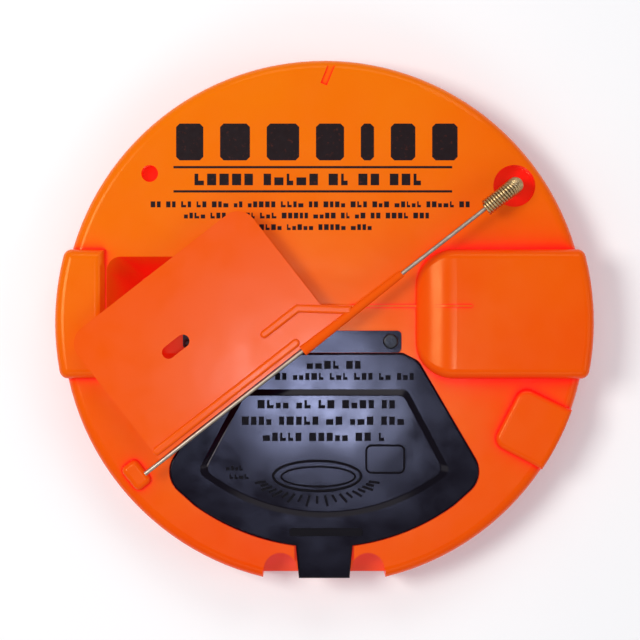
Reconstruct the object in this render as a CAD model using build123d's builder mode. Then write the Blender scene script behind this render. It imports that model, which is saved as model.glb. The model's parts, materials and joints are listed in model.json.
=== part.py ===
"""Round insulated ice-fishing tip-up, folded for storage.

A foam-filled two-shell disc covers the hole in the ice. A shaft housing pivots at its middle: the reel
end swings out of a pocket underneath, while the trigger end rises through the top. The reel's tooth kicks
the foot of the trigger rod, the rod turns the trigger bar, and the bar lets a sprung flag arm fly up.

Frame: +Z up, origin on the resting surface under the middle of the disc, -Y towards the cover's rim tab.
Millimetres.
"""

from build123d import *
import math
import os

# ---- disc ----
disc_radius = 150.0
disc_top = 34.0
wall = 3.0
core_gap = 0.2
split_z = 14.0
rim_round = 6.0

# ---- raised bar across the disc: a long block over the reel, a short ridge opposite ----
bar_radius = 153.5
bar_low_y, bar_high_y = -32.0, 41.7
block_left_x = 51.6
block_top = 43.0
block_corner = 22.0
block_edge_round = 5.5
shoulder_end_x, shoulder_radius = 76.0, 37.5
ridge_right_x = -125.0
ridge_top = 40.0
ridge_edge_round = 5.5
bar_corner = 5.0

# ---- shaft housing, pivoted on two trunnions ----
pivot_x, shaft_y, shaft_z = -16.0, 7.0, 23.0
tube_radius, tube_bore = 6.5, 4.0
tube_start_x, tube_end_x = pivot_x - 15.0, 62.0
slot_half_width = 8.6
swing_room = 8.0
trunnion_radius = 3.0
running_gap = 0.05
bush_length = 8.0

# ---- trigger ----
rod_radius = 1.5
bar_x = pivot_x - 21.0
bar_half_length = 11.5
bar_thickness = 5.0
trigger_room = 12.3
foot_x = 67.0
foot_length = 8.5
foot_tip_x = 70.5

# ---- reel ----
reel_x = 100.0
reel_radius = 27.5
reel_width = 20.0
flange = 2.0
hub_radius = 12.0
axle_radius = 3.0
sleeve_outer = 4.5
bracket_thickness = 3.0
bracket_width = 13.0
bracket_gap = 0.5
tooth_radius = 31.2
tooth_width = 4.0
tooth_rest_angle = -45.0
neck_start_x = 50.0
neck_radius, collar_radius = 5.5, 7.5

# ---- flag arm: u runs from the wire's tip to the spring, v square to it in the flag's plane ----
tip_x, tip_y = -101.3, -85.6
arm_angle = 37.94
flag_z = 48.0
socket_u = 266.0
wire_radius = 1.2
coil_outer, coil_inner = 4.75, 3.15
coil_end_u = 244.0
coil_foot_z = 22.5
panel_thickness = 1.6
rib_height = 1.8
rib_edge_round = 1.4
panel_v = 87.0
socket_recess = 12.0

# ---- moulded cover in the lower sector ----
cover_thickness = 3.0
strip_top_y, strip_low_y = -4.8, -16.8
strip_half = 44.0
strip_corner = 2.4
hinge_groove = 0.6
rim_edge_round = 1.2
tab_root_half, tab_half = 16.7, 14.5
tab_root_y, tab_end_y = -122.0, -146.0
platform_rise = 1.5
platform_flank = 4.5
cover_gap = 0.3
cover_seat_z = disc_top - cover_thickness
well_floor_z = 17.0
cover_screw_x, cover_screw_y = 37.9, -10.8

# ---- small features ----
pocket_floor_z = 8.0
keeper_x, keeper_y = -74.5, -7.5
tether_x, tether_y, tether_radius = -99.6, 85.0, 4.8
tether_floor_z = 24.0
notch_half = 35.0
notch_edge_y = -141.0
pad_height = 3.6
catch_height = 3.4
mould_line_y, mould_line_start_x, mould_line_end_x = 9.4, 15.0, 84.0
mould_line_width, mould_line_height = 1.1, 0.8
rim_groove_depth = 1.0
seam_groove = 0.6

arm_u = Vector(math.cos(math.radians(arm_angle)), math.sin(math.radians(arm_angle)), 0)
arm_v = Vector(-arm_u.Y, arm_u.X, 0)
along_shaft = Plane(origin=(0, shaft_y, shaft_z), x_dir=(0, 1, 0), z_dir=(1, 0, 0))


def arm_point(u, v=0.0, z=0.0):
    """A point of the flag arm in the part's frame."""
    return Vector(tip_x, tip_y, z) + arm_u * u + arm_v * v


def bar_outline(left, right, inset):
    """The raised bar's plan between two X values: a band of the larger circle with rounded corners."""
    with BuildSketch(mode=Mode.PRIVATE) as plan:
        Circle(bar_radius - inset)
        with Locations(((left + right) / 2, (bar_low_y + bar_high_y) / 2)):
            Rectangle(right - left, bar_high_y - bar_low_y - 2 * inset, mode=Mode.INTERSECT)
    return plan.sketch


def block_outline(inset):
    """The long block's plan, with its two inner corners well rounded."""
    with BuildSketch(mode=Mode.PRIVATE) as plan:
        add(bar_outline(block_left_x + inset, bar_radius + 10, inset))
        inner = plan.vertices().sort_by(Axis.X)[:2]
        fillet(inner, block_corner - inset)
        outer = plan.vertices().sort_by(Axis.X)[-2:]
        fillet(outer, bar_corner)
    return plan.sketch


def ridge_outline(inset):
    """The short ridge's plan."""
    with BuildSketch(mode=Mode.PRIVATE) as plan:
        add(bar_outline(-bar_radius - 10, ridge_right_x - inset, inset))
        outer = plan.vertices().sort_by(Axis.X)[:2]
        fillet(outer, bar_corner)
    return plan.sketch


def cover_outline(grow=0.0):
    """The moving part of the cover in plan: a sector with rounded corners, without its rim tab."""
    with BuildSketch(mode=Mode.PRIVATE) as plan:
        with BuildLine():
            top_right = (strip_half + 1, strip_low_y - hinge_groove)
            shoulder = (54, -22)
            flank = (92.5, -88)
            heel = (74, -104.5)
            Polyline(top_right, shoulder, flank, heel)
            ThreePointArc(heel, (0, -128.5), (-heel[0], heel[1]))
            Polyline(
                (-heel[0], heel[1]),
                (-flank[0], flank[1]),
                (-shoulder[0], shoulder[1]),
                (-top_right[0], top_right[1]),
                top_right,
            )
        make_face()
        lowest = plan.vertices().sort_by(Axis.Y)
        fillet(lowest[:4], 15.0)
        fillet(plan.vertices().sort_by_distance((shoulder[0], shoulder[1], 0))[:1], 8.0)
        fillet(plan.vertices().sort_by_distance((-shoulder[0], shoulder[1], 0))[:1], 8.0)
        if grow:
            offset(amount=grow, kind=Kind.ARC)
    return plan.sketch


def platform_outline(inset):
    """The raised middle of the cover in plan, moved inwards by inset."""
    with BuildSketch(mode=Mode.PRIVATE) as plan:
        with BuildLine():
            shoulder = (48 - 0.6 * inset, -37 - inset)
            flank = (74 - 1.3 * inset, -86 + 0.33 * inset)
            heel = (65 - 0.57 * inset, -92 + 0.82 * inset)
            Polyline((-shoulder[0], shoulder[1]), shoulder, flank, heel)
            ThreePointArc(heel, (0, -112.5 + inset), (-heel[0], heel[1]))
            Polyline((-heel[0], heel[1]), (-flank[0], flank[1]), (-shoulder[0], shoulder[1]))
        make_face()
        fillet(plan.vertices(), 5.5)
    return plan.sketch


def strip_outline(grow=0.0):
    """The screwed strip at the cover's inner end."""
    height = strip_top_y - strip_low_y
    with BuildSketch(mode=Mode.PRIVATE) as plan:
        with Locations((0, strip_top_y - height / 2)):
            RectangleRounded(2 * (strip_half + grow), height + 2 * grow, strip_corner)
    return plan.sketch


def pad_outline():
    """The thumb pad at the rim, clockwise of the reel block."""
    with BuildSketch(mode=Mode.PRIVATE) as plan:
        Circle(disc_radius)
        with Locations(Location((127, -64, 0), (0, 0, -27))):
            RectangleRounded(52, 38, 7, mode=Mode.INTERSECT)
    return plan.sketch


def thumb_pad():
    """The raised pad, rounded over on top."""
    with BuildPart() as pad:
        with BuildSketch(Plane.XY.offset(disc_top - 8)):
            add(pad_outline())
        extrude(amount=8 + pad_height)
        fillet(pad.edges().group_by(Axis.Z)[-1], pad_height - 0.3)
    return pad.part


def wire_catch():
    """A rounded lug on the deck just past the tip of the flag wire."""
    with BuildPart() as lug:
        with BuildSketch(Plane(origin=(tip_x, tip_y, disc_top - wall / 2), x_dir=arm_u, z_dir=(0, 0, 1))):
            with Locations((-5.3, 2.5)):
                RectangleRounded(11.5, 17, 3.5)
        extrude(amount=catch_height + wall / 2)
        fillet(lug.edges().group_by(Axis.Z)[-1], 3.2)
    return lug.part


def mould_line():
    """A thin raised line along X that follows the deck and the block's shoulder."""
    with BuildPart() as line:
        with BuildSketch(Plane.XZ.offset(-mould_line_y - mould_line_width / 2)):
            with BuildLine():
                low, high = -wall / 2, mould_line_height
                deck_end, crest_x = block_left_x + 1.5, shoulder_end_x
                start = (mould_line_start_x, disc_top + high)
                Line(start, (deck_end, disc_top + high))
                RadiusArc((deck_end, disc_top + high), (crest_x, block_top + high), shoulder_radius)
                Line((crest_x, block_top + high), (mould_line_end_x, block_top + high))
                Line((mould_line_end_x, block_top + high), (mould_line_end_x, block_top + low))
                Line((mould_line_end_x, block_top + low), (crest_x, block_top + low))
                RadiusArc((crest_x, block_top + low), (deck_end, disc_top + low), -shoulder_radius)
                Line((deck_end, disc_top + low), (mould_line_start_x, disc_top + low))
                Line((mould_line_start_x, disc_top + low), start)
            make_face()
        extrude(amount=mould_line_width)
    return line.part


def block_form(inset, base=0.0):
    """The block over the reel: flat on top, with a long rounded shoulder at its inner end."""
    with BuildPart() as block:
        with BuildSketch(Plane.XY.offset(base)):
            add(block_outline(inset))
        extrude(amount=block_top - inset - base)
        with BuildSketch(Plane.XZ.offset(-100)):
            with BuildLine():
                crest = (shoulder_end_x, block_top - inset)
                foot = (block_left_x - 1.5, disc_top - inset - 1.0)
                RadiusArc(foot, crest, shoulder_radius)
                Polyline(crest, (shoulder_end_x, block_top + 20), (foot[0] - 20, block_top + 20))
                Polyline((foot[0] - 20, block_top + 20), (foot[0] - 20, foot[1]), foot)
            make_face()
        extrude(amount=200, mode=Mode.SUBTRACT)
        if not inset:
            fillet(block.edges().filter_by(lambda e: e.center().Z > disc_top + 1), block_edge_round)
    return block.part


def envelope(inset):
    """The disc with its raised bar, moved inwards by inset on every side."""
    with BuildPart() as body:
        with BuildSketch(Plane.XY.offset(inset)):
            Circle(disc_radius - inset)
        extrude(amount=disc_top - 2 * inset)
        if not inset:
            fillet(body.edges().group_by(Axis.Z)[-1], rim_round)
            fillet(body.edges().group_by(Axis.Z)[0], rim_round / 2)
    with BuildPart() as ridge:
        with BuildSketch(Plane.XY.offset(inset)):
            add(ridge_outline(inset))
        extrude(amount=ridge_top - 2 * inset)
        if not inset:
            fillet(ridge.edges().group_by(Axis.Z)[-1], ridge_edge_round)
    with BuildPart() as whole:
        add(body.part)
        add(block_form(inset, inset))
        add(ridge.part)
        if not inset:
            add(thumb_pad())
    return whole.part


def pockets(grow):
    """Everything that is hollow in the disc, with its walls moved outwards by grow."""
    over = block_top + 10
    with BuildPart() as hollow:
        # sloping hand pocket on the side away from the reel
        with BuildSketch(Plane.XY.offset(pocket_floor_z - grow)):
            with Locations((-82.5, 4.5)):
                RectangleRounded(49 + 2 * grow, 45 + 2 * grow, 6)
        with BuildSketch(Plane.XY.offset(disc_top + 12)):
            with Locations((-87.5, 4)):
                RectangleRounded(89 + 2 * grow, 77 + 2 * grow, 9)
        loft()
        # slot for the housing at the top, wider where the trigger bar lies
        slot_left = bar_x - bar_thickness / 2 - 3
        with BuildSketch(Plane.XY.offset(shaft_z - trigger_room - grow)):
            with Locations(((slot_left + tube_start_x + 1) / 2, shaft_y)):
                Rectangle(tube_start_x + 1 - slot_left + 2 * grow, 2 * (trigger_room + grow))
        extrude(amount=over)
        right_end = pivot_x + swing_room
        with BuildSketch(Plane.XY.offset(14 - grow)):
            with Locations(((slot_left + right_end) / 2, shaft_y)):
                Rectangle(right_end - slot_left + 2 * grow, 2 * (slot_half_width + grow))
        extrude(amount=over)
        # channel for the housing underneath, running into the reel pocket
        channel_left = pivot_x - swing_room
        with BuildSketch(Plane.XY.offset(-5)):
            with Locations(((channel_left + 70) / 2, shaft_y)):
                Rectangle(70 - channel_left + 2 * grow, 2 * (slot_half_width + 1 + grow))
        extrude(amount=5 + disc_top - wall + grow)
        add(block_form(wall - grow, -5.0))
        # seat and well under the cover
        with BuildSketch(Plane.XY.offset(cover_seat_z - grow)):
            add(cover_outline(cover_gap + grow))
            add(strip_outline(cover_gap + grow))
            with Locations((0, -140)):
                Rectangle(2 * (tab_root_half + cover_gap + grow), 40)
        extrude(amount=over)
        with BuildSketch(Plane.XY.offset(well_floor_z - grow)):
            add(cover_outline(-9 + grow))
        extrude(amount=over)
        # rim notch with two finger scallops
        with BuildSketch(Plane.XY.offset(split_z - grow)):
            with Locations((0, notch_edge_y - 15)):
                Rectangle(2 * (notch_half + grow), 30 + 2 * grow)
            with Locations((-25, notch_edge_y), (25, notch_edge_y)):
                Circle(9.5 + grow)
        extrude(amount=over)
        with BuildSketch(Plane.XY.offset(-5)):
            with Locations((0, notch_edge_y - 3 - 15)):
                Rectangle(2 * (notch_half + grow), 30 + 2 * grow)
        extrude(amount=over)
        # round recess for the flag spring
        with BuildSketch(Plane.XY.offset(coil_foot_z - 0.5 - grow)):
            with Locations(arm_point(socket_u)):
                Circle(socket_recess + grow)
        extrude(amount=over)
        # blind hole near the rim
        with BuildSketch(Plane.XY.offset(tether_floor_z - grow)):
            with Locations((tether_x, tether_y)):
                Circle(tether_radius + grow)
        extrude(amount=over)
    return hollow.part


def cylinder_along(plane, radius, start, end, bore=0.0):
    """A round bar or tube along a plane's normal, from start to end."""
    with BuildPart() as bar:
        with BuildSketch(plane.offset(start)):
            Circle(radius)
            if bore:
                Circle(bore, mode=Mode.SUBTRACT)
        extrude(amount=end - start)
    return bar.part


# ---- disc: two shells round a foam core ----
bush_plane = Plane(origin=(pivot_x, shaft_y, shaft_z), x_dir=(1, 0, 0), z_dir=(0, 1, 0))
bush_start = slot_half_width + 1.2
bush_outer = 5.5
socket_plane = Plane(origin=arm_point(socket_u))
socket_foot_z = 6.0
socket_outer = 4.0
screw_radius = 1.5
screw_foot_z = 22.0

with BuildPart() as fittings_room:
    for side in (-1, 1):
        near, far = sorted((side * (slot_half_width - 1), side * (bush_start + bush_length)))
        add(cylinder_along(bush_plane, bush_outer, near, far))
    add(cylinder_along(socket_plane, socket_outer, socket_foot_z, coil_foot_z))
    with Locations(
        (-cover_screw_x, cover_screw_y, screw_foot_z), (cover_screw_x, cover_screw_y, screw_foot_z)
    ):
        Cylinder(screw_radius, 20, align=(Align.CENTER, Align.CENTER, Align.MIN))

with BuildPart() as marks:
    # short slanted groove at the top of the rim
    with BuildSketch(Plane.XY.offset(disc_top - rim_groove_depth)):
        with BuildLine():
            Line((5.0, disc_radius - 1), (-0.3, 136))
        trace(line_width=4)
    extrude(amount=10)
    # fine groove where the two shells meet
    with BuildSketch(Plane.XY.offset(split_z - seam_groove / 2)):
        Rectangle(4 * disc_radius, 4 * disc_radius)
        Circle(disc_radius - seam_groove, mode=Mode.SUBTRACT)
        add(block_outline(seam_groove), mode=Mode.SUBTRACT)
        add(ridge_outline(seam_groove), mode=Mode.SUBTRACT)
    extrude(amount=seam_groove)

outer_form = envelope(0) - pockets(0) - marks.part
shell_form = outer_form - (envelope(wall) - pockets(wall)) - fittings_room.part

with BuildPart() as below_seam:
    with BuildSketch(Plane.XY.offset(-1)):
        Rectangle(4 * disc_radius, 4 * disc_radius)
    extrude(amount=split_z + 1)
    # the hand pocket's cup hangs below the seam but belongs to the top moulding
    with BuildSketch(Plane.XY.offset(wall + 0.8)):
        with Locations((-82.5, 4.5)):
            Rectangle(80, 80)
    extrude(amount=split_z, mode=Mode.SUBTRACT)

with BuildPart() as top_shell:
    add(shell_form - below_seam.part)
    # rounded catch on the deck that the tip of the flag wire butts against
    add(wire_catch())
    # fine parting line of the mould, over the deck and up the block's shoulder
    add(mould_line())

with BuildPart() as bottom_shell:
    add(shell_form & below_seam.part)

with BuildPart() as foam_core:
    add(envelope(wall + core_gap) - pockets(wall + core_gap) - fittings_room.part)


# ---- fittings fixed in the disc ----
def pivot_bush(side):
    """A plain bush in one cheek of the slot."""
    near, far = sorted((side * bush_start, side * (bush_start + bush_length)))
    return cylinder_along(bush_plane, bush_outer, near, far, trunnion_radius + running_gap)


with BuildPart() as pivot_bush_near:
    add(pivot_bush(-1))

with BuildPart() as pivot_bush_far:
    add(pivot_bush(1))

with BuildPart() as flag_socket:
    add(cylinder_along(socket_plane, socket_outer, socket_foot_z, coil_foot_z))
    add(cylinder_along(socket_plane, wire_radius, socket_foot_z + 3, coil_foot_z), mode=Mode.SUBTRACT)

with BuildPart() as hook_keeper:
    with BuildSketch(Plane.XY.offset(pocket_floor_z)):
        with Locations((keeper_x, keeper_y)):
            RectangleRounded(15, 15, 2)
    extrude(amount=3)
    with BuildSketch(Plane.XY.offset(pocket_floor_z + 2.5)):
        for side in (-1, 1):
            with Locations((keeper_x, keeper_y + side * 4.6)):
                SlotOverall(13, 4.2)
    extrude(amount=12)
    fillet(hook_keeper.edges().group_by(Axis.Z)[-1], 1.2)


def cover_screw(x):
    """A pan-head screw: its head sits on the strip, its shank goes down through the deck."""
    with BuildPart() as screw:
        with Locations((x, cover_screw_y, screw_foot_z)):
            Cylinder(screw_radius, disc_top - screw_foot_z, align=(Align.CENTER, Align.CENTER, Align.MIN))
        with BuildSketch(Plane.XY.offset(disc_top)):
            with Locations((x, cover_screw_y)):
                Circle(4.3)
        extrude(amount=1.9)
        fillet(screw.edges().group_by(Axis.Z)[-1], 1.2)
        with BuildSketch(Plane.XY.offset(disc_top + 0.9)):
            with Locations((x, cover_screw_y)):
                Rectangle(4.6, 1.0)
                Rectangle(1.0, 4.6)
        extrude(amount=2, mode=Mode.SUBTRACT)
    return screw.part


with BuildPart() as cover_screw_left:
    add(cover_screw(-cover_screw_x))

with BuildPart() as cover_screw_right:
    add(cover_screw(cover_screw_x))

# ---- cover ----
with BuildPart() as hinge_strip:
    with BuildSketch(Plane.XY.offset(cover_seat_z)):
        add(strip_outline())
        with Locations((-cover_screw_x, cover_screw_y), (cover_screw_x, cover_screw_y)):
            Circle(screw_radius, mode=Mode.SUBTRACT)
    extrude(amount=cover_thickness)

with BuildPart() as cover:
    with BuildSketch(Plane.XY.offset(cover_seat_z)):
        add(cover_outline())
        with BuildLine():
            Polyline(
                (-tab_root_half, tab_root_y),
                (-tab_half, tab_end_y),
                (tab_half, tab_end_y),
                (tab_root_half, tab_root_y),
                (-tab_root_half, tab_root_y),
            )
        make_face()
    extrude(amount=cover_thickness)
    fillet(cover.edges().group_by(Axis.Z)[-1], rim_edge_round)
    # broad platform with gently sloping flanks
    with BuildSketch(Plane.XY.offset(cover_seat_z + cover_thickness - 0.5)):
        add(platform_outline(0))
    with BuildSketch(Plane.XY.offset(cover_seat_z + cover_thickness + platform_rise)):
        add(platform_outline(platform_flank))
    loft()
    fillet(cover.edges().group_by(Axis.Z)[-1], 1.5)
    # ribs under the cover, inside the well
    with BuildSketch(Plane.XY.offset(cover_seat_z)):
        for x in (-40, 0, 40):
            with Locations((x, -70)):
                Rectangle(2.4, 46)
    extrude(amount=-4)

# ---- shaft housing ----
with BuildPart() as shaft_tube:
    with BuildSketch(along_shaft.offset(tube_start_x)):
        Circle(tube_radius)
    extrude(amount=neck_start_x - tube_start_x)
    with BuildSketch(along_shaft.offset(neck_start_x)):
        Circle(neck_radius)
    extrude(amount=tube_end_x - neck_start_x)
    with BuildSketch(bush_plane.offset(-slot_half_width + 0.4)):
        Circle(5.4)
    extrude(amount=2 * (slot_half_width - 0.4))
    with BuildSketch(along_shaft.offset(tube_start_x)):
        Circle(tube_bore)
    extrude(amount=tube_end_x - tube_start_x, mode=Mode.SUBTRACT)
    for side in (-1, 1):
        near, far = sorted((side * (tube_bore + 0.6), side * slot_half_width))
        add(cylinder_along(bush_plane, trunnion_radius, near, far), mode=Mode.SUBTRACT)
    # hole for the bracket's set screw
    with BuildSketch(Plane(origin=(54, shaft_y, shaft_z), z_dir=(0, 0, -1))):
        Circle(1.25)
    extrude(amount=12, mode=Mode.SUBTRACT)


def trunnion(side):
    """A steel pin standing out of the housing into its bush."""
    near, far = sorted((side * (tube_bore + 0.6), side * (bush_start + bush_length - 0.5)))
    return cylinder_along(bush_plane, trunnion_radius, near, far)


with BuildPart() as trunnion_near:
    add(trunnion(-1))

with BuildPart() as trunnion_far:
    add(trunnion(1))


def rod_bush(start, end):
    """A plain bush in the housing's bore for the trigger rod."""
    return cylinder_along(along_shaft, tube_bore, start, end, rod_radius + running_gap)


with BuildPart() as rod_bush_upper:
    add(rod_bush(tube_start_x, tube_start_x + 8))

with BuildPart() as rod_bush_lower:
    add(rod_bush(neck_start_x + 6, tube_end_x))

# ---- trigger ----
with BuildPart() as trigger_rod:
    with BuildLine() as rod_path:
        run = Line((bar_x - bar_thickness / 2, shaft_y, shaft_z), (foot_x, shaft_y, shaft_z))
        leg = Line(run @ 1, (foot_x, shaft_y - foot_length, shaft_z))
        toe = Line(leg @ 1, (foot_tip_x, shaft_y - foot_length, shaft_z))
    with BuildSketch(Plane(origin=run @ 0, z_dir=run % 0)):
        Circle(rod_radius)
    sweep(path=rod_path, transition=Transition.ROUND)

with BuildPart() as trigger_bar:
    with BuildSketch(along_shaft.offset(bar_x - bar_thickness / 2)):
        SlotOverall(2 * bar_half_length, 5.0)
        Circle(4.2)
        Circle(rod_radius, mode=Mode.SUBTRACT)
    extrude(amount=bar_thickness)
    chamfer(trigger_bar.faces().sort_by(Axis.X)[0].outer_wire().edges(), 0.5)

with BuildPart() as rod_washer:
    add(cylinder_along(along_shaft, 3.6, bar_x + bar_thickness / 2, tube_start_x - 0.3, rod_radius))

# ---- reel and its bracket ----
reel_plane = Plane(origin=(reel_x, shaft_y, shaft_z))
tooth_plane = reel_plane.rotated((0, 0, tooth_rest_angle))
arm_z = reel_width / 2 + bracket_gap

with BuildPart() as reel_bracket:
    with BuildSketch(along_shaft.offset(tube_end_x)):
        Rectangle(bracket_width + 3, 2 * (arm_z + bracket_thickness))
    extrude(amount=bracket_thickness)
    for side in (-1, 1):
        with BuildSketch(reel_plane.offset(side * arm_z)):
            with Locations(((tube_end_x - reel_x) / 2, 0)):
                Rectangle(reel_x - tube_end_x, bracket_width)
            Circle(bracket_width / 2)
            Circle(axle_radius, mode=Mode.SUBTRACT)
        extrude(amount=side * bracket_thickness)
    with BuildSketch(along_shaft.offset(neck_start_x)):
        Circle(collar_radius)
    extrude(amount=tube_end_x - neck_start_x)
    with BuildSketch(along_shaft.offset(neck_start_x)):
        Circle(neck_radius)
    extrude(amount=tube_end_x - neck_start_x, mode=Mode.SUBTRACT)
    with BuildSketch(along_shaft.offset(tube_end_x)):
        Circle(rod_radius + 0.6)
    extrude(amount=bracket_thickness, mode=Mode.SUBTRACT)
    with BuildSketch(Plane(origin=(54, shaft_y, shaft_z), z_dir=(0, 0, -1))):
        Circle(1.25)
    extrude(amount=12, mode=Mode.SUBTRACT)

with BuildPart() as bracket_screw:
    screw_plane = Plane(origin=(54, shaft_y, shaft_z), z_dir=(0, 0, -1))
    add(cylinder_along(screw_plane, 1.25, 4.2, collar_radius))
    add(cylinder_along(screw_plane, 2.3, collar_radius, collar_radius + 1.4))
    with BuildSketch(screw_plane.offset(collar_radius + 0.7)):
        Rectangle(6, 0.7)
    extrude(amount=2, mode=Mode.SUBTRACT)

axle_top = arm_z + bracket_thickness
with BuildPart() as reel_axle:
    add(cylinder_along(reel_plane, axle_radius, -axle_top - 7.6, axle_top))
    add(cylinder_along(reel_plane, 5.2, axle_top, axle_top + 1.8))
    fillet(reel_axle.edges().group_by(Axis.Z)[-1], 0.9)
    chamfer(reel_axle.edges().group_by(Axis.Z)[0], 0.5)

with BuildPart() as drag_washer:
    add(cylinder_along(reel_plane, 5.8, -axle_top - 1.2, -axle_top, axle_radius))

with BuildPart() as wing_nut:
    add(cylinder_along(reel_plane, 5.0, -axle_top - 6.2, -axle_top - 1.2, axle_radius))
    for side in (-1, 1):
        wing = Plane(origin=(reel_x, shaft_y - 1.0, shaft_z), x_dir=(1, 0, 0), z_dir=(0, 1, 0))
        with BuildSketch(wing):
            with Locations((side * 7.6, axle_top + 4.6)):
                Ellipse(4.6, 3.2)
        extrude(amount=2.0)

with BuildPart() as spool:
    with BuildSketch(reel_plane.offset(-reel_width / 2)):
        Circle(reel_radius)
    extrude(amount=flange)
    with BuildSketch(reel_plane.offset(reel_width / 2 - flange)):
        Circle(reel_radius)
    extrude(amount=flange)
    fillet(spool.edges().filter_by(GeomType.CIRCLE), 0.6)
    with BuildSketch(reel_plane.offset(-reel_width / 2 + flange - 0.2)):
        Circle(hub_radius)
    extrude(amount=reel_width - 2 * flange + 0.4)
    with BuildSketch(reel_plane.offset(-reel_width / 2)):
        Circle(sleeve_outer)
    extrude(amount=reel_width, mode=Mode.SUBTRACT)
    # finger holes in the flanges
    with BuildSketch(reel_plane.offset(-reel_width / 2 - 1)):
        with PolarLocations(19.8, 5, start_angle=36):
            Circle(4.3)
    extrude(amount=reel_width + 2, mode=Mode.SUBTRACT)
    # notch that holds the tooth
    with BuildSketch(tooth_plane.offset(-reel_width / 2)):
        with Locations((reel_radius, 0)):
            Rectangle(6, tooth_width)
    extrude(amount=flange, mode=Mode.SUBTRACT)

with BuildPart() as trip_tooth:
    with BuildSketch(tooth_plane.offset(-reel_width / 2)):
        with Locations(((reel_radius - 3 + tooth_radius) / 2, 0)):
            Rectangle(tooth_radius - reel_radius + 3, tooth_width)
    extrude(amount=flange)
    with BuildSketch(tooth_plane.offset(-reel_width / 2 + flange)):
        with Locations(((reel_radius + 0.2 + tooth_radius) / 2, 0)):
            Rectangle(tooth_radius - reel_radius - 0.2, tooth_width)
    extrude(amount=1.0)
    tooth_rim = trip_tooth.edges().filter_by(Axis.Z).sort_by_distance(reel_plane.origin)[-4:]
    fillet(tooth_rim, 1.0)

with BuildPart() as spool_sleeve:
    add(
        cylinder_along(
            reel_plane, sleeve_outer, -reel_width / 2, reel_width / 2, axle_radius + running_gap
        )
    )


# ---- flag arm ----
def close_coil(plane, length):
    """Close-wound turns of spring wire along a plane's normal."""
    wire = (coil_outer - coil_inner) / 2
    pitch = 2 * wire * 0.96
    count = int(length / pitch)
    pitch = length / count
    with BuildPart() as coil:
        with BuildSketch(Plane.XZ):
            for turn in range(count):
                with Locations((coil_inner + wire, (turn + 0.5) * pitch)):
                    Circle(wire)
            with Locations((coil_inner + wire, length / 2)):
                Rectangle(wire * 1.1, length)
            with Locations((coil_inner + wire, -wire), (coil_inner + wire, length + wire)):
                Rectangle(4 * wire, 2 * wire, mode=Mode.SUBTRACT)
        revolve(axis=Axis.Z)
    return coil.part.moved(Location(plane))


hinge_point = arm_point(socket_u, 0, flag_z)
arm_axis = Plane(origin=arm_point(coil_end_u, 0, flag_z), x_dir=(0, 0, 1), z_dir=arm_u)
foot_axis = Plane(origin=arm_point(socket_u, 0, coil_foot_z + 1.5))
ball_room = coil_outer + 0.4

with BuildPart() as spring_foot:
    add(close_coil(foot_axis, flag_z - coil_outer - 0.35 - coil_foot_z - 1.5))
    add(cylinder_along(foot_axis, coil_outer - 0.2, -1.5, 0.4))
    add(cylinder_along(foot_axis, wire_radius, socket_foot_z + 3 - coil_foot_z - 1.5, 0))
    with Locations(hinge_point):
        Sphere(ball_room, mode=Mode.SUBTRACT)

with BuildPart() as flag_spring:
    add(close_coil(arm_axis, socket_u - coil_end_u))
    with Locations(hinge_point):
        Sphere(coil_outer)
    add(cylinder_along(arm_axis, wire_radius, -1, socket_u - coil_end_u - 1), mode=Mode.SUBTRACT)

with BuildPart() as flag_wire:
    wire_plane = Plane(origin=arm_point(0, 0, flag_z), x_dir=(0, 0, 1), z_dir=arm_u)
    add(cylinder_along(wire_plane, wire_radius, 0, socket_u - 1))

sheet_plane = Plane(origin=(tip_x, tip_y, flag_z - panel_thickness / 2), x_dir=arm_u, z_dir=(0, 0, 1))
with BuildPart() as flag_panel:
    with BuildSketch(sheet_plane) as sheet:
        with BuildLine():
            Polyline((11.5, 0), (11.5, panel_v), (137, panel_v), (137, 14.5), (151, 3), (153, 0), (11.5, 0))
        make_face()
        rounded = sheet.vertices().sort_by_distance((74, panel_v, 0))[:2]
        fillet(rounded, 11)
        with Locations(Location((58, 46, 0))):
            SlotOverall(17.7, 7.4, mode=Mode.SUBTRACT)
        with Locations((56, 0)):
            Rectangle(114, 3.2, mode=Mode.SUBTRACT)
    extrude(amount=panel_thickness)
    # stiffening ribs standing on the sheet
    with BuildSketch(sheet_plane.offset(panel_thickness - 0.2)):
        with Locations((63, 6.0)):
            SlotOverall(104, 4.8)
        with BuildLine():
            rib_bend = (125.5, 20.8)
            Polyline((101.8, 20.8), rib_bend, (149, 1.2))
        trace(line_width=4.6)
        with Locations((101.8, 20.8), rib_bend):
            Circle(2.3)
    extrude(amount=rib_height)
    fillet(flag_panel.edges().group_by(Axis.Z)[-1], rib_edge_round)
    # sleeve round the wire
    with BuildSketch(Plane(origin=arm_point(113, 0, flag_z), x_dir=(0, 0, 1), z_dir=arm_u)):
        Circle(3.2)
    with BuildSketch(Plane(origin=arm_point(184, 0, flag_z), x_dir=(0, 0, 1), z_dir=arm_u)):
        Circle(2.0)
    loft()
    with BuildSketch(Plane(origin=arm_point(10, 0, flag_z), x_dir=(0, 0, 1), z_dir=arm_u)):
        Circle(wire_radius)
    extrude(amount=180, mode=Mode.SUBTRACT)

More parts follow.
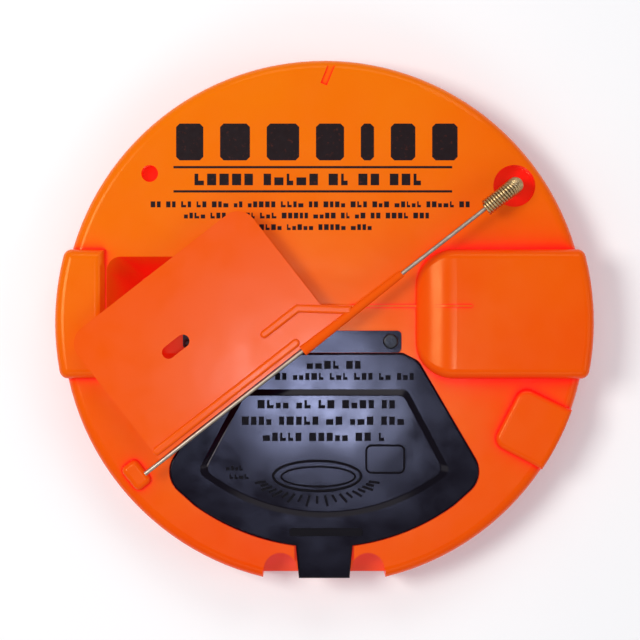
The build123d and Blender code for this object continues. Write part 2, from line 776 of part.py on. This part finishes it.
top_shell.part.label = "top_shell"
bottom_shell.part.label = "bottom_shell"
foam_core.part.label = "foam_core"
pivot_bush_near.part.label = "pivot_bush_near"
pivot_bush_far.part.label = "pivot_bush_far"
flag_socket.part.label = "flag_socket"
hook_keeper.part.label = "hook_keeper"
hinge_strip.part.label = "hinge_strip"
cover.part.label = "cover"
cover_screw_left.part.label = "cover_screw_left"
cover_screw_right.part.label = "cover_screw_right"
shaft_tube.part.label = "shaft_tube"
trunnion_near.part.label = "trunnion_near"
trunnion_far.part.label = "trunnion_far"
rod_bush_upper.part.label = "rod_bush_upper"
rod_bush_lower.part.label = "rod_bush_lower"
trigger_rod.part.label = "trigger_rod"
trigger_bar.part.label = "trigger_bar"
rod_washer.part.label = "rod_washer"
reel_bracket.part.label = "reel_bracket"
bracket_screw.part.label = "bracket_screw"
reel_axle.part.label = "reel_axle"
drag_washer.part.label = "drag_washer"
wing_nut.part.label = "wing_nut"
spool.part.label = "spool"
trip_tooth.part.label = "trip_tooth"
spool_sleeve.part.label = "spool_sleeve"
spring_foot.part.label = "spring_foot"
flag_spring.part.label = "flag_spring"
flag_wire.part.label = "flag_wire"
flag_panel.part.label = "flag_panel"

pieces = [
    top_shell,
    bottom_shell,
    foam_core,
    pivot_bush_near,
    pivot_bush_far,
    flag_socket,
    hook_keeper,
    hinge_strip,
    cover,
    cover_screw_left,
    cover_screw_right,
    shaft_tube,
    trunnion_near,
    trunnion_far,
    rod_bush_upper,
    rod_bush_lower,
    trigger_rod,
    trigger_bar,
    rod_washer,
    reel_bracket,
    bracket_screw,
    reel_axle,
    drag_washer,
    wing_nut,
    spool,
    trip_tooth,
    spool_sleeve,
    spring_foot,
    flag_spring,
    flag_wire,
    flag_panel,
]

os.makedirs("parts", exist_ok=True)
for piece in pieces:
    export_step(piece.part, f"parts/{piece.part.label}.step")
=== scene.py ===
"""Round insulated tip-up, folded: the looks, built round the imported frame. Metres."""

import json
import math
import random

import bmesh
import bpy
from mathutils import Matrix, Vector


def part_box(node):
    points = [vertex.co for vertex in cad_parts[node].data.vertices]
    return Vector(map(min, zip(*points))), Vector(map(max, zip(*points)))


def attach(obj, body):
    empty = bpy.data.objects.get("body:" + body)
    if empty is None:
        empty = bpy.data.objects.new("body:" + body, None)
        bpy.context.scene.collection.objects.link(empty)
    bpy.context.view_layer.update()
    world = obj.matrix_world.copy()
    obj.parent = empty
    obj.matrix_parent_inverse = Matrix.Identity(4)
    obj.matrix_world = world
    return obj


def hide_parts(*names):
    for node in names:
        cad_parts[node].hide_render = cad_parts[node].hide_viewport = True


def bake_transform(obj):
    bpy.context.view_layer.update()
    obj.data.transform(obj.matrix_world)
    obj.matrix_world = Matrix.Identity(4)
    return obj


bpy.ops.wm.read_factory_settings(use_empty=True)
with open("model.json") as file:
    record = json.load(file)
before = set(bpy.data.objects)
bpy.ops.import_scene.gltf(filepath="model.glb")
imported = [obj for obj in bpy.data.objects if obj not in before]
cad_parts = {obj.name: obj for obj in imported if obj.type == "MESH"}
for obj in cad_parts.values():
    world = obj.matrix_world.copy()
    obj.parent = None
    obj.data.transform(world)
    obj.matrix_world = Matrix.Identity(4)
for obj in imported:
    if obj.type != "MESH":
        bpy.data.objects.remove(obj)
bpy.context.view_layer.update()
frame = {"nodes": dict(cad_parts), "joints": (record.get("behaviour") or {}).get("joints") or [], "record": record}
nodes = frame["nodes"]
scene = bpy.context.scene
MM = 0.001
UP = Vector((0, 0, 1))
# the strip and the cover's rim lie level with the deck
deck_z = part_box("hinge_strip")[1].z


# ---------------------------------------------------------------- materials
def new_material(name):
    """An empty node material with its shader and output."""
    mat = bpy.data.materials.new(name)
    mat.use_nodes = True
    tree = mat.node_tree
    tree.nodes.clear()
    shader = tree.nodes.new("ShaderNodeBsdfPrincipled")
    out = tree.nodes.new("ShaderNodeOutputMaterial")
    tree.links.new(shader.outputs["BSDF"], out.inputs["Surface"])
    return mat, tree, shader


def node(tree, kind, inputs=(), **settings):
    """A shader node with its settings and input values or links."""
    made = tree.nodes.new(kind)
    for key, value in settings.items():
        setattr(made, key, value)
    for key, value in dict(inputs).items():
        if isinstance(value, bpy.types.NodeSocket):
            tree.links.new(value, made.inputs[key])
        else:
            made.inputs[key].default_value = value
    return made


def noise(tree, scale, detail=2.0, rough=0.5):
    """Noise in object space, with features 1/scale metres wide."""
    place = node(tree, "ShaderNodeTexCoord")
    return node(
        tree,
        "ShaderNodeTexNoise",
        {"Vector": place.outputs["Object"], "Scale": scale, "Detail": detail, "Roughness": rough},
    ).outputs["Fac"]


def spread(tree, value, low, high, at=(0.3, 0.7)):
    """value from at[0]..at[1] mapped to low..high."""
    return node(
        tree,
        "ShaderNodeMapRange",
        {"Value": value, "From Min": at[0], "From Max": at[1], "To Min": low, "To Max": high},
    ).outputs["Result"]


def tint(tree, value, first, second):
    """A colour between first and second."""
    mixed = node(tree, "ShaderNodeMix", data_type="RGBA")
    tree.links.new(value, mixed.inputs["Factor"])
    mixed.inputs["A"].default_value = (*first, 1)
    mixed.inputs["B"].default_value = (*second, 1)
    return mixed.outputs["Result"]


def bump(tree, shader, height, distance, strength=1.0, under=None):
    """Bump from a height, onto the shader, over an earlier bump if one is given."""
    inputs = {"Height": height, "Distance": distance, "Strength": strength}
    if under is not None:
        inputs["Normal"] = under
    made = node(tree, "ShaderNodeBump", inputs).outputs["Normal"]
    tree.links.new(made, shader.inputs["Normal"])
    return made


# painted light: the shell's colour is painted yellower towards the back left and redder towards the front right;
# this is the direction of that change, and the distances along it where it starts and ends
painted_light_direction = (-0.45, 0.90, 0.0)
painted_light_span = (-0.08, 0.15)
# painted shade: how far a recess looks for its own walls when its colour is painted redder as shade, and the
# shares of open sky that count as fully shaded and as open
painted_shade_reach = 0.055
painted_shade_span = (0.68, 0.96)


def along_painted_light(tree):
    """How far a point lies along the direction in which the shell's colour is painted from shaded to lit."""
    place = node(tree, "ShaderNodeTexCoord").outputs["Object"]
    inputs = {0: place, 1: painted_light_direction}
    return node(tree, "ShaderNodeVectorMath", inputs, operation="DOT_PRODUCT").outputs["Value"]


def open_sky(tree):
    """How open a point is, from 0 deep in a recess to 1 on a free face; it sets where shade is painted into
    recesses.
    """
    inputs = {"Distance": painted_shade_reach}
    return node(tree, "ShaderNodeAmbientOcclusion", inputs, samples=8, only_local=True).outputs["AO"]


def moulded(
    name, deep, light, rough, grain=0.00003, sheen_through=0.0, sink=0.0006, sink_scale=30.0, painted_shade=None
):
    """Moulded plastic: slow colour drift, sink waves, fine orange-peel and slightly duller patches.

    The last argument is a redder colour painted into the moulding's own recesses as shade. Where it is given,
    the colour is also painted deeper at the front right of the moulding and lighter at its back left, as painted
    light and shade.
    """
    mat, tree, shader = new_material(name)
    drift = spread(tree, noise(tree, 9.0, 3.0), 0.0, 0.35)
    if painted_shade:
        # painted light and shade: deeper towards the front right, lighter towards the back left
        painted_light_shift = spread(tree, along_painted_light(tree), 0.0, 0.8, painted_light_span)
        drift = node(tree, "ShaderNodeMath", {0: drift, 1: painted_light_shift}).outputs[0]
    colour = tint(tree, drift, deep, light)
    if painted_shade:
        # painted shade: the recesses are painted towards the redder shade colour
        openness = spread(tree, open_sky(tree), 0.0, 1.0, painted_shade_span)
        mixed = node(tree, "ShaderNodeMix", {"Factor": openness}, data_type="RGBA")
        mixed.inputs["A"].default_value = (*painted_shade, 1)
        tree.links.new(colour, mixed.inputs["B"])
        colour = mixed.outputs["Result"]
    tree.links.new(colour, shader.inputs["Base Color"])
    patches = spread(tree, noise(tree, 55.0, 4.0, 0.6), rough - 0.04, rough + 0.05)
    tree.links.new(patches, shader.inputs["Roughness"])
    waves = bump(tree, shader, noise(tree, sink_scale, 1.5), sink, 0.5)
    bump(tree, shader, noise(tree, 900.0, 3.0, 0.6), grain, 0.6, waves)
    shader.inputs["Subsurface Weight"].default_value = sheen_through
    shader.inputs["Subsurface Radius"].default_value = (1.0, 0.25, 0.05)
    shader.inputs["Subsurface Scale"].default_value = 0.002
    shader.inputs["IOR"].default_value = 1.49
    return mat


def metal(name, deep, light, rough, streak=600.0):
    """Drawn or plated metal, with fine uneven brightness and small marks."""
    mat, tree, shader = new_material(name)
    tone = spread(tree, noise(tree, streak, 3.0), 0.0, 1.0)
    tree.links.new(tint(tree, tone, deep, light), shader.inputs["Base Color"])
    tree.links.new(
        spread(tree, noise(tree, 240.0, 3.0, 0.6), rough - 0.07, rough + 0.09),
        shader.inputs["Roughness"],
    )
    bump(tree, shader, noise(tree, 1500.0, 2.0), 0.00002, 0.5)
    shader.inputs["Metallic"].default_value = 1.0
    return mat


def ink_material():
    """Pad-printed black ink, with thin places where it has worn."""
    mat, tree, shader = new_material("black_ink")
    worn = spread(tree, noise(tree, 420.0, 4.0, 0.7), 0.0, 1.0, (0.58, 0.72))
    colour = tint(tree, worn, (0.009, 0.002, 0.003), (0.06, 0.010, 0.005))
    tree.links.new(colour, shader.inputs["Base Color"])
    tree.links.new(spread(tree, noise(tree, 300.0, 3.0), 0.50, 0.62), shader.inputs["Roughness"])
    bump(tree, shader, noise(tree, 1200.0, 2.0), 0.00002, 0.5)
    return mat


orange_deep = (0.670, 0.046, 0.0005)
orange_light = (0.710, 0.166, 0.0005)
# painted shade: the redder colour painted into the orange shells' recesses
orange_painted_shade = (0.900, 0.003, 0.006)
# painted glow: a faint red emission on the orange parts, which lifts their shade
painted_glow_colour = (1.0, 0.035, 0.004)
painted_glow_strength = 0.16
blaze_level = 0.21
under_deep, under_light = (0.66, 0.060, 0.002), (0.70, 0.090, 0.002)
flag_deep, flag_light = (0.680, 0.080, 0.0005), (0.710, 0.110, 0.0005)
cover_deep, cover_light = (0.002, 0.001, 0.004), (0.004, 0.003, 0.007)
mats = {
    "ink": ink_material(),
    "black_screw": metal("black_screw", (0.03, 0.03, 0.032), (0.06, 0.06, 0.065), 0.36),
    "shell_top": moulded(
        "orange_shell", orange_deep, orange_light, 0.19, 0.00001, sheen_through=0.06, painted_shade=orange_painted_shade
    ),
    "shell_bottom": moulded("orange_under", under_deep, under_light, 0.30, painted_shade=orange_painted_shade),
    "flag_plastic": moulded("orange_flag", flag_deep, flag_light, 0.17, 0.000008, sink=0.0003),
    "foam": moulded("foam", (0.80, 0.79, 0.75), (0.90, 0.89, 0.86), 0.85, grain=0.0002),
    "bush": moulded("acetal", (0.70, 0.69, 0.64), (0.78, 0.77, 0.72), 0.45),
    "cover_black": moulded(
        "black_cover", cover_deep, cover_light, 0.13, 0.00001, sink=0.0012, sink_scale=17.0
    ),
    "cover_relief": moulded("black_relief", (0.003, 0.002, 0.004), (0.005, 0.003, 0.006), 0.52),
    "black_plastic": moulded("black_plastic", (0.012, 0.012, 0.013), (0.020, 0.020, 0.022), 0.45),
    "zinc_steel": metal("zinc_steel", (0.50, 0.49, 0.47), (0.64, 0.63, 0.61), 0.34),
    "wire": metal("wire_steel", (0.40, 0.33, 0.26), (0.52, 0.44, 0.35), 0.42),
    "gold_spring": metal("gold_spring", (0.42, 0.28, 0.13), (0.62, 0.46, 0.24), 0.30),
    "brass_sleeve": metal("brass", (0.68, 0.48, 0.20), (0.80, 0.60, 0.28), 0.30),
}


def set_constant(slot_name, socket, value):
    """Sets a constant on the shader of a slot's material."""
    mats[slot_name].node_tree.nodes["Principled BSDF"].inputs[socket].default_value = value


for slot_name in ("shell_top", "shell_bottom", "flag_plastic"):
    # painted glow: the orange parts are given a faint red emission that lifts their shade
    set_constant(slot_name, "Emission Color", (*painted_glow_colour, 1))
    set_constant(slot_name, "Emission Strength", painted_glow_strength)
    set_constant(slot_name, "Specular IOR Level", blaze_level)
for slot_name, level in (("cover_black", 0.165), ("cover_relief", 0.10), ("ink", 0.15)):
    set_constant(slot_name, "Specular IOR Level", level)
# the gloss of dyed plastic keeps a trace of the dye
for slot_name, sheen in (
    ("shell_top", (1.0, 0.80, 0.32)),
    ("flag_plastic", (1.0, 0.85, 0.56)),
    ("cover_black", (0.98, 0.92, 1.0)),
):
    set_constant(slot_name, "Specular Tint", (*sheen, 1))
slot_of = {s["node"]: s["material_slot"] for s in frame["record"]["subparts"]}


def paint(obj, slot_name):
    """Gives a piece a slot's material on every material slot it has."""
    for i in range(max(1, len(obj.material_slots))):
        if i < len(obj.material_slots):
            obj.material_slots[i].material = mats[slot_name]
        else:
            obj.data.materials.append(mats[slot_name])


def smooth(obj, degrees=32.0):
    """Smooth shading with sharp edges where faces meet at more than an angle."""
    for polygon in obj.data.polygons:
        polygon.use_smooth = True
    obj.data.set_sharp_from_angle(angle=math.radians(degrees))


for name, obj in nodes.items():
    paint(obj, slot_of[name])
    smooth(obj)


# ---------------------------------------------------------------- pieces
def add_piece(name, mesh, body, slot_name):
    """A finished mesh as a piece with its material, riding on a body if one is given.

    The relief has a duller look of its own.
    """
    obj = bpy.data.objects.new(name, mesh)
    scene.collection.objects.link(obj)
    paint(obj, slot_name)
    if body:
        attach(obj, body)
    return obj


def tube_mesh(name, path, radius, sides):
    """A round tube along points, closed at its ends, with its frame carried without twist."""
    bm = bmesh.new()
    rings = []
    tangent = (path[1] - path[0]).normalized()
    side = tangent.orthogonal().normalized()
    for i, point in enumerate(path):
        ahead = path[min(i + 1, len(path) - 1)]
        behind = path[max(i - 1, 0)]
        new_tangent = (ahead - behind).normalized()
        side = (side - new_tangent * side.dot(new_tangent)).normalized()
        across = new_tangent.cross(side)
        ring = []
        for k in range(sides):
            a = 2 * math.pi * k / sides
            ring.append(bm.verts.new(point + side * (math.cos(a) * radius) + across * (math.sin(a) * radius)))
        rings.append(ring)
    for first, second in zip(rings, rings[1:]):
        for k in range(sides):
            bm.faces.new((first[k], first[(k + 1) % sides], second[(k + 1) % sides], second[k]))
    bm.faces.new(list(reversed(rings[0])))
    bm.faces.new(rings[-1])
    for face in bm.faces:
        face.smooth = True
    mesh = bpy.data.meshes.new(name)
    bm.to_mesh(mesh)
    bm.free()
    return mesh


# the flag's hinge: arm_v is its axis, and arm_u points from the wire's tip to the hinge
swing = next(joint for joint in frame["joints"] if joint["name"] == "flag_swing")
hinge = Vector(swing["pos_m"])
arm_v = Vector(swing["axis"])
arm_u = Vector((arm_v.y, -arm_v.x, 0.0))

# the coil spring: an upright foot, a quarter bend and the straight run round the wire's end
wire_r = 0.80 * MM
coil_r = 4.75 * MM - wire_r
bend_r = 8.5 * MM
arm_length = 22.0 * MM
hidden_foot = 15.0 * MM
foot_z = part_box("spring_foot")[0].z + hidden_foot
rise = hinge.z - bend_r - foot_z
arc = bend_r * math.pi / 2
turn_pitch = 1.66 * MM
bend_crowding = 1.3
steps_per_turn = 20


def spine(s):
    """Centre and direction of the coil at a length s from its foot."""
    if s < rise:
        return Vector((hinge.x, hinge.y, foot_z + s)), UP
    if s < rise + arc:
        a = (s - rise) / bend_r
        centre = Vector((hinge.x, hinge.y, hinge.z - bend_r)) - arm_u * bend_r
        on_bend = centre + arm_u * (bend_r * math.cos(a)) + UP * (bend_r * math.sin(a))
        return on_bend, UP * math.cos(a) - arm_u * math.sin(a)
    run = s - rise - arc
    return Vector((hinge.x, hinge.y, hinge.z)) - arm_u * (bend_r + run), -arm_u


spine_length = rise + arc + arm_length - bend_r
helix = []
travelled, angle = 0.0, 0.0
while travelled < spine_length:
    centre, ahead = spine(travelled)
    third = ahead.cross(arm_v)
    helix.append(centre + arm_v * (math.cos(angle) * coil_r) + third * (math.sin(angle) * coil_r))
    in_bend = 0.001 < abs(ahead.z) < 0.999
    angle += 2 * math.pi / steps_per_turn
    travelled += turn_pitch / steps_per_turn / (bend_crowding if in_bend else 1.0)
coil = add_piece("coil_spring", tube_mesh("coil_spring", helix, wire_r, 8), None, "gold_spring")
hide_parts("flag_spring", "spring_foot")
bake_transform(coil)


# ---------------------------------------------------------------- surface details
def slab_mesh(name, outlines, base, height, bevel=0.0):
    """Flat raised shapes, one per outline of (x, y) points, with an optional bevelled top edge."""
    bm = bmesh.new()
    for outline in outlines:
        low = [bm.verts.new((x, y, base)) for x, y in outline]
        bm.faces.new(low)
        high = [bm.verts.new((x, y, base + height - bevel)) for x, y in outline]
        count = len(outline)
        for i in range(count):
            j = (i + 1) % count
            bm.faces.new((low[i], low[j], high[j], high[i]))
        if bevel:
            middle = sum((v.co for v in high), Vector()) / count
            ring = []
            for v in high:
                towards = (middle - v.co).normalized()
                ring.append(bm.verts.new(v.co + towards * bevel + UP * bevel))
            for i in range(count):
                j = (i + 1) % count
                bm.faces.new((high[i], high[j], ring[j], ring[i]))
            high = ring
        bm.faces.new(high)
    bmesh.ops.recalc_face_normals(bm, faces=bm.faces)
    mesh = bpy.data.meshes.new(name)
    bm.to_mesh(mesh)
    bm.free()
    return mesh


def block_outline(x, y, width, height, cut=0.0):
    """A rectangle centred at x, y, with its corners clipped by cut. Takes millimetres, gives metres."""
    w, h = width / 2, height / 2
    points = [
        (x - w + cut, y - h),
        (x + w - cut, y - h),
        (x + w, y - h + cut),
        (x + w, y + h - cut),
        (x + w - cut, y + h),
        (x - w + cut, y + h),
        (x - w, y + h - cut),
        (x - w, y - h + cut),
    ]
    if not cut:
        points = [(x - w, y - h), (x + w, y - h), (x + w, y + h), (x - w, y + h)]
    return [(a * MM, b * MM) for a, b in points]


def print_row(rng, left, right, y, height):
    """A row of short marks from left to right, grouped like words but spelling nothing."""
    mark_gap, group_gap = 0.28 * height, 0.65 * height
    marks = []
    x = left
    while x < right - height * 0.5:
        for _ in range(rng.randint(2, 5)):
            wide = height * rng.uniform(0.55, 0.85)
            if x + wide > right:
                break
            kind = rng.random()
            if kind < 0.55:
                marks.append(block_outline(x + wide / 2, y, wide, height))
            elif kind < 0.8:
                marks.append(block_outline(x + wide / 2, y - height * 0.16, wide, height * 0.68))
            else:
                marks.append(block_outline(x + wide * 0.2, y, wide * 0.4, height))
                marks.append(block_outline(x + wide * 0.7, y - height * 0.3, wide * 0.6, height * 0.4))
            x += wide + mark_gap
        x += group_gap
    return marks


def print_rows(rng, rows):
    """Several rows, each given as left, right, y and height."""
    return [mark for row in rows for mark in print_row(rng, *row)]


# the deck's print: plain bars in place of large letters, two rules and four rows of small marks
bar_widths = (15.5, 17.0, 18.5, 16.0, 7.5, 14.0, 14.5)
bar_gap, bar_height, bar_cut, bar_y = 9.6, 21.0, 2.0, 103.0
rule_width, rule_height, rule_x = 159.0, 1.3, -6.5
ink_rows = (
    (-74.0, 59.0, 81.6, 6.6),
    (-99.0, 84.0, 67.4, 3.4),
    (-80.0, 65.0, 61.0, 3.3),
    (-37.0, 28.0, 54.4, 3.3),
)
ink_sink, ink_thickness = 0.02 * MM, 0.10 * MM
ink_marks = []
x = -84.5
for width in bar_widths:
    ink_marks.append(block_outline(x + width / 2, bar_y, width, bar_height, bar_cut))
    x += width + bar_gap
for y in (88.6, 74.8):
    ink_marks.append(block_outline(rule_x, y, rule_width, rule_height))
ink_marks += print_rows(random.Random(11), ink_rows)
add_piece("deck_print", slab_mesh("deck_print", ink_marks, deck_z - ink_sink, ink_thickness), "disc", "ink")


def loop_path(x, y, width, height, corner, z):
    """A closed path round a rounded rectangle, in millimetres in plan, at a height z in metres."""
    path = []
    for cx, cy, turn in ((1, 1, 0), (-1, 1, 1), (-1, -1, 2), (1, -1, 3)):
        for step in range(7):
            a = math.pi / 2 * (turn + step / 6)
            px = x + cx * (width / 2 - corner) + corner * math.cos(a)
            py = y + cy * (height / 2 - corner) + corner * math.sin(a)
            path.append(Vector((px * MM, py * MM, z)))
    return path


def oval_path(x, y, half_width, half_height, z):
    """A closed oval path, in millimetres in plan, at a height z in metres."""
    turns = [2 * math.pi * step / 48 for step in range(48)]
    return [
        Vector(((x + half_width * math.cos(a)) * MM, (y + half_height * math.sin(a)) * MM, z)) for a in turns
    ]


def add_loop(bm, path, radius, sides=8):
    """A closed raised line of round section along a flat path."""
    count = len(path)
    rings = []
    for i, point in enumerate(path):
        ahead = (path[(i + 1) % count] - path[i - 1]).normalized()
        side = ahead.cross(UP)
        ring = []
        for k in range(sides):
            a = 2 * math.pi * k / sides
            ring.append(bm.verts.new(point + side * (math.cos(a) * radius) + UP * (math.sin(a) * radius)))
        rings.append(ring)
    for i in range(count):
        first, second = rings[i], rings[(i + 1) % count]
        for k in range(sides):
            bm.faces.new((first[k], first[(k + 1) % sides], second[(k + 1) % sides], second[k]))


# thin living hinge at the bottom of the groove between the strip and the cover
strip_low, strip_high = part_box("hinge_strip")
web_depth = 0.45 * MM
web_outline = [
    (strip_low.x, strip_low.y - web_depth),
    (strip_high.x, strip_low.y - web_depth),
    (strip_high.x, strip_low.y + web_depth),
    (strip_low.x, strip_low.y + web_depth),
]
web = slab_mesh("living_hinge", [web_outline], strip_low.z - 0.1 * MM, 1.2 * MM)
add_piece("living_hinge", web, "disc", "cover_black")

# moulded relief on the cover: plain bars in place of wording, and plain loops in place of a picture
platform_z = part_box("cover")[1].z
emboss, emboss_sink, emboss_bevel = 0.55 * MM, 0.05 * MM, 0.25 * MM
band_rows = ((-10.0, 27.0, -24.2, 4.6), (-28.0, 52.0, -30.8, 4.0))
platform_rows = (
    (-38.0, 43.0, -46.6, 4.8),
    (-47.0, 47.0, -56.0, 4.8),
    (-35.0, 35.0, -65.2, 4.8),
    (-56.0, -42.0, -83.0, 2.8),
    (-54.0, -42.0, -87.8, 2.8),
)
oval_x, oval_y, oval_wide, oval_high = -4.0, -87.5, 25.0, 8.6
# the fan of strokes below the oval: its first angle and sweep in degrees, and the strokes' sizes
fan_strokes, fan_start, fan_sweep = 19, 196, 148
stroke_half_width, short_stroke, long_stroke = 0.75, 4.6, 6.4


def fan_stroke(step):
    """The outline of one short stroke below the oval, pointing away from its middle."""
    turn = math.radians(fan_start + step * fan_sweep / (fan_strokes - 1))
    along = Vector((math.cos(turn), 0.52 * math.sin(turn))).normalized()
    across = Vector((-along.y, along.x)) * stroke_half_width
    near = Vector((oval_x + 1.22 * oval_wide * math.cos(turn), oval_y + 1.30 * oval_high * math.sin(turn)))
    far = near + along * (short_stroke if step % 2 else long_stroke)
    corners = (near - across, far - across, far + across, near + across)
    return [(corner.x * MM, corner.y * MM) for corner in corners]


relief_rng = random.Random(5)
band_marks = print_rows(relief_rng, band_rows)
band_marks.append(block_outline(1.0, -119.6, 42.0, 4.6, 1.0))
platform_marks = print_rows(relief_rng, platform_rows)
platform_marks += [fan_stroke(step) for step in range(fan_strokes)]
for name, marks, level in (
    ("cover_relief_band", band_marks, deck_z),
    ("cover_relief_rows", platform_marks, platform_z),
):
    add_piece(name, slab_mesh(name, marks, level - emboss_sink, emboss, emboss_bevel), "lid", "cover_relief")
loops = bmesh.new()
add_loop(loops, loop_path(34.8, -77.9, 21.6, 15.6, 3.0, platform_z), 0.65 * MM)
add_loop(loops, oval_path(oval_x, oval_y, oval_wide, oval_high, platform_z), 0.8 * MM)
inner_wide, inner_high = 0.84 * oval_wide, 0.66 * oval_high
add_loop(loops, oval_path(oval_x + 0.6, oval_y - 0.4, inner_wide, inner_high, platform_z), 0.6 * MM)
for face in loops.faces:
    face.smooth = True
loops_mesh = bpy.data.meshes.new("cover_relief_loops")
loops.to_mesh(loops_mesh)
loops.free()
add_piece("cover_relief_loops", loops_mesh, "lid", "cover_relief")

# ---------------------------------------------------------------- stage
def area_light(name, place, target, size, power, colour=(1, 1, 1)):
    """A soft rectangular light aimed at a point."""
    data = bpy.data.lights.new(name, "AREA")
    data.shape = "RECTANGLE"
    data.size, data.size_y = size
    data.energy = power
    data.color = colour
    obj = bpy.data.objects.new(name, data)
    scene.collection.objects.link(obj)
    obj.location = place
    obj.rotation_mode = "QUATERNION"
    obj.rotation_quaternion = (Vector(target) - Vector(place)).to_track_quat("-Z", "Y")


floor_mesh = bpy.data.meshes.new("floor")
half_floor = 3.0
floor_corners = [(x * half_floor, y * half_floor, 0) for x, y in ((-1, -1), (1, -1), (1, 1), (-1, 1))]
floor_mesh.from_pydata(floor_corners, [], [(0, 1, 2, 3)])
floor = bpy.data.objects.new("floor", floor_mesh)
scene.collection.objects.link(floor)
floor_mat, floor_tree, floor_shader = new_material("pale_floor")
floor_tone = spread(floor_tree, noise(floor_tree, 3.0, 2.0), 0.0, 1.0)
floor_colour = tint(floor_tree, floor_tone, (0.93, 0.93, 0.93), (0.96, 0.96, 0.96))
floor_tree.links.new(floor_colour, floor_shader.inputs["Base Color"])
floor_shader.inputs["Roughness"].default_value = 0.7
floor_mesh.materials.append(floor_mat)

target = (0, 0, 0.03)
gloss_target = (0.0, -0.03, 0)
area_light("key", (-0.85, 0.20, 1.45), target, (0.55, 0.55), 14.0, (1.0, 0.975, 0.93))
area_light("back_fill", (0.2, 1.6, 1.5), target, (1.6, 0.7), 9.0)
area_light("right_fill", (1.6, -0.2, 1.2), target, (0.8, 1.2), 4.0)
area_light("front_fill", (0.0, -1.6, 1.4), target, (1.6, 0.7), 5.0)
# two small bluish lights high up, which show as the gloss on the flag and on the cover
area_light("patch", (-0.03, -0.095, 2.1), gloss_target, (0.20, 0.12), 2.9, (0.52, 0.62, 1.0))
area_light("cover_patch", (0.020, -0.128, 2.1), gloss_target, (0.11, 0.08), 1.9, (0.62, 0.72, 1.0))

world = bpy.data.worlds.new("studio")
world.use_nodes = True
sky = world.node_tree.nodes["Background"]
sky.inputs["Color"].default_value = (1, 1, 1, 1)
sky.inputs["Strength"].default_value = 0.34
scene.world = world
scene.view_settings.view_transform = "Standard"

# straight down, as far off as makes the frame this wide at the deck
camera_data = bpy.data.cameras.new("camera")
camera_data.lens = 130.0
camera_data.sensor_width = 36.0
camera = bpy.data.objects.new("camera", camera_data)
scene.collection.objects.link(camera)
frame_width = 365.2 * MM
frame_x, frame_y = -2.4 * MM, 1.4 * MM
distance = frame_width * camera_data.lens / camera_data.sensor_width
camera.location = (frame_x, frame_y, deck_z + distance)
scene.camera = camera
